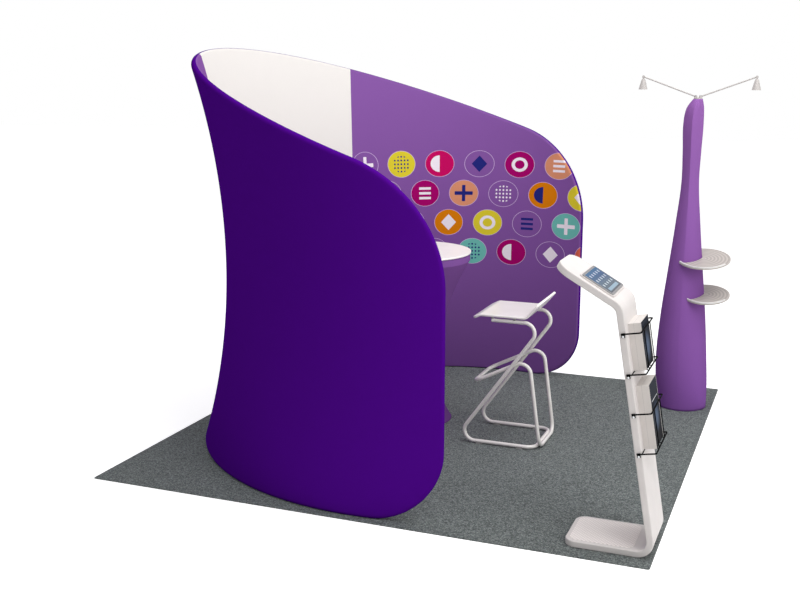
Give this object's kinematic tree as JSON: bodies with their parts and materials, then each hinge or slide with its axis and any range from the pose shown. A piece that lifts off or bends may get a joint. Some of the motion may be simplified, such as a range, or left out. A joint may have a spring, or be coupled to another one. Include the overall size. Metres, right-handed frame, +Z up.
{
  "type": "portable exhibit booth",
  "caption": "Free-standing exhibition booth: curved fabric wall, flared counter, bent-tube stool, tablet kiosk, and a lit tower with shelves on a square carpet",
  "frame": {"origin": "middle of the carpet's underside, on the floor", "axes": "+X out of the booth's open side, +Y to the wing with the printed band, +Z up"},
  "size_m": [3.178, 3, 2.3155],
  "materials": {
    "carpet_pile": "grey loop pile",
    "cover_dark": "dark purple stretch fabric",
    "cover_print": "light purple printed stretch fabric",
    "zip_tape": "coil zip on woven tape",
    "zip_metal": "plated die casting",
    "frame_tube": "mill finish tube",
    "button_steel": "bright steel",
    "base_steel": "grey powder coat",
    "moulded_white": "moulded",
    "tower_fabric": "light purple stretch fabric",
    "shelf_grey": "grey acrylic with turned rings",
    "light_white": "white powder coat",
    "lamp_glass": "frosted lens",
    "counter_white": "white laminate",
    "drum_board": "bent plywood",
    "stool_tube": "satin off-white coat",
    "seat_white": "white moulding",
    "glide_rubber": "matt",
    "kiosk_white": "white powder coat",
    "tablet_white": "white bezel",
    "tablet_screen": "lit screen",
    "rack_black": "black powder coat",
    "carton_board": "coated board"
  },
  "bodies": {
    "booth": {"carpet": "carpet_pile", "counter_base": "base_steel", "counter_cover": "tower_fabric", "counter_drum_ring": "drum_board", "counter_post": "frame_tube", "counter_spider": "base_steel", "counter_top": "counter_white", "display_carton_lower": "carton_board", "display_carton_upper": "carton_board", "kiosk_column": "kiosk_white", "kiosk_foot_mat": "kiosk_white", "kiosk_rack_lower": "rack_black", "kiosk_rack_screws": "button_steel", "kiosk_rack_upper": "rack_black", "light_hub": "light_white", "light_pivot_screws": "button_steel", "stool_crossbar": "stool_tube", "stool_footrest": "stool_tube", "stool_glides": "glide_rubber", "stool_rear_legs": "stool_tube", "stool_seat": "seat_white", "stool_seat_pads": "glide_rubber", "stool_side_frame_far": "stool_tube", "stool_side_frame_near": "stool_tube", "tablet_body": "tablet_white", "tablet_cradle": "kiosk_white", "tablet_glass": "tablet_screen", "tower_base": "base_steel", "tower_cover": "tower_fabric", "tower_crown": "moulded_white", "tower_mast": "frame_tube", "tower_shelf_brackets": "rack_black", "tower_shelf_lower": "shelf_grey", "tower_shelf_upper": "shelf_grey", "wall_cover_hem": "cover_dark", "wall_cover_inner": "cover_print", "wall_cover_outer": "cover_dark", "wall_end_hoop_far": "frame_tube", "wall_end_hoop_near": "frame_tube", "wall_foot_rail_far": "frame_tube", "wall_foot_rail_near": "frame_tube", "wall_rib_far": "frame_tube", "wall_rib_near": "frame_tube", "wall_spigots": "frame_tube", "wall_top_rail_far": "frame_tube", "wall_top_rail_near": "frame_tube", "wall_zip": "zip_tape"},
    "snap_button_foot_back": {"snap_button_foot_back": "button_steel"},
    "snap_button_foot_near": {"snap_button_foot_near": "button_steel"},
    "snap_button_foot_far": {"snap_button_foot_far": "button_steel"},
    "snap_button_top_back": {"snap_button_top_back": "button_steel"},
    "snap_button_top_near": {"snap_button_top_near": "button_steel"},
    "snap_button_top_far": {"snap_button_top_far": "button_steel"},
    "zip_slider": {"zip_slider": "zip_metal"},
    "light_arm_left": {"light_arm_left": "light_white"},
    "lamp_left": {"lamp_housing_left": "light_white", "lamp_lens_left": "lamp_glass"},
    "light_arm_right": {"light_arm_right": "light_white"},
    "lamp_right": {"lamp_housing_right": "light_white", "lamp_lens_right": "lamp_glass"}
  },
  "joints": [
    {"name": "snap_button_foot_back_press", "type": "slide", "parent": "booth", "child": "snap_button_foot_back", "axis": [-1, 0.0092, 0], "range_m": [0, 0.004], "stiffness_N_per_m": 300},
    {"name": "snap_button_foot_near_press", "type": "slide", "parent": "booth", "child": "snap_button_foot_near", "axis": [-0.1827, -0.9832, 0], "range_m": [0, 0.004], "stiffness_N_per_m": 300},
    {"name": "snap_button_foot_far_press", "type": "slide", "parent": "booth", "child": "snap_button_foot_far", "axis": [-0.1344, 0.9909, 0], "range_m": [0, 0.004], "stiffness_N_per_m": 300},
    {"name": "snap_button_top_back_press", "type": "slide", "parent": "booth", "child": "snap_button_top_back", "axis": [-1, 0.0092, 0], "range_m": [0, 0.004], "stiffness_N_per_m": 300},
    {"name": "snap_button_top_near_press", "type": "slide", "parent": "booth", "child": "snap_button_top_near", "axis": [-0.1827, -0.9832, 0], "range_m": [0, 0.004], "stiffness_N_per_m": 300},
    {"name": "snap_button_top_far_press", "type": "slide", "parent": "booth", "child": "snap_button_top_far", "axis": [-0.1344, 0.9909, 0], "range_m": [0, 0.004], "stiffness_N_per_m": 300},
    {"name": "zip_slider_run", "type": "hinge", "parent": "booth", "child": "zip_slider", "pos_m": [0, 0, 0.0235], "axis": [0, 0, 1], "range_deg": [-176, 0]},
    {"name": "light_arm_left_swing", "type": "hinge", "parent": "booth", "child": "light_arm_left", "pos_m": [1.291, 1.043, 2.02085], "axis": [0, 0, 1], "range_deg": [-75, 75]},
    {"name": "lamp_left_tilt", "type": "hinge", "parent": "light_arm_left", "child": "lamp_left", "pos_m": [0.96, 1.043, 2.14285], "axis": [0, 1, 0], "range_deg": [-15, 75]},
    {"name": "light_arm_right_swing", "type": "hinge", "parent": "booth", "child": "light_arm_right", "pos_m": [1.319, 1.043, 2.02085], "axis": [0, 0, 1], "range_deg": [-75, 75]},
    {"name": "lamp_right_tilt", "type": "hinge", "parent": "light_arm_right", "child": "lamp_right", "pos_m": [1.65, 1.043, 2.14285], "axis": [0, -1, 0], "range_deg": [-15, 75]}
  ]
}
